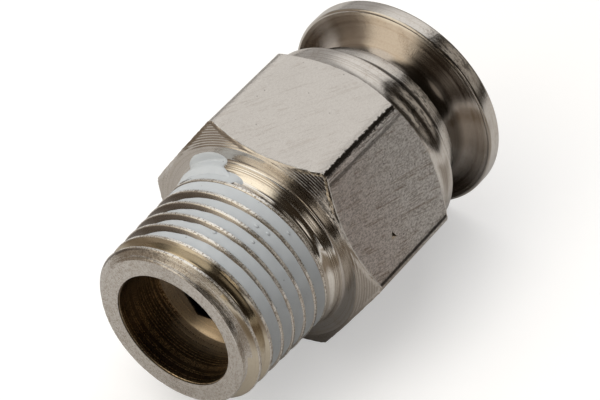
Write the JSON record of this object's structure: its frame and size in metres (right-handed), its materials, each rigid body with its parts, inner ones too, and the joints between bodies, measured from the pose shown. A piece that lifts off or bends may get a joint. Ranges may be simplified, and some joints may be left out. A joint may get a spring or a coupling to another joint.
{
  "type": "push to connect fitting",
  "caption": "Nickel plated brass push to connect fitting: taper male thread with sealant coat, hexagon, and a mushroom release button round a tube socket.",
  "frame": {"origin": "where the fitting's axis meets the hexagon's thread side face, which the fitting is screwed up towards", "axes": "+X along the axis from the thread to the release button, +Z square to one flat of the hexagon"},
  "size_m": [0.0204, 0.0138, 0.0122],
  "materials": {
    "body_nickel": "satin nickel plating with turning marks",
    "sealant": "matt baked-on coat",
    "seal_rubber": "matt",
    "retainer_brass": "turned",
    "grip_steel": "spring temper, satin",
    "collar_nickel": "satin nickel plating",
    "collet_brass": "turned",
    "button_nickel": "polished nickel plating"
  },
  "bodies": {
    "fitting": {"body": "body_nickel", "thread_sealant": "sealant", "tube_seal": "seal_rubber", "seal_retainer": "retainer_brass", "grip_ring": "grip_steel", "guide_collar": "collar_nickel"},
    "collet": {"collet": "collet_brass"},
    "button": {"release_button": "button_nickel"}
  },
  "joints": [
    {"name": "release_press", "type": "slide", "parent": "fitting", "child": "collet", "axis": [-1, 0, 0], "range_m": [0, 0.001], "stiffness_N_per_m": 6000, "deforming": ["grip_ring"]},
    {"name": "button_spin", "type": "hinge", "parent": "collet", "child": "button", "pos_m": [0.012, 0, 0], "axis": [1, 0, 0], "continuous": true}
  ]
}
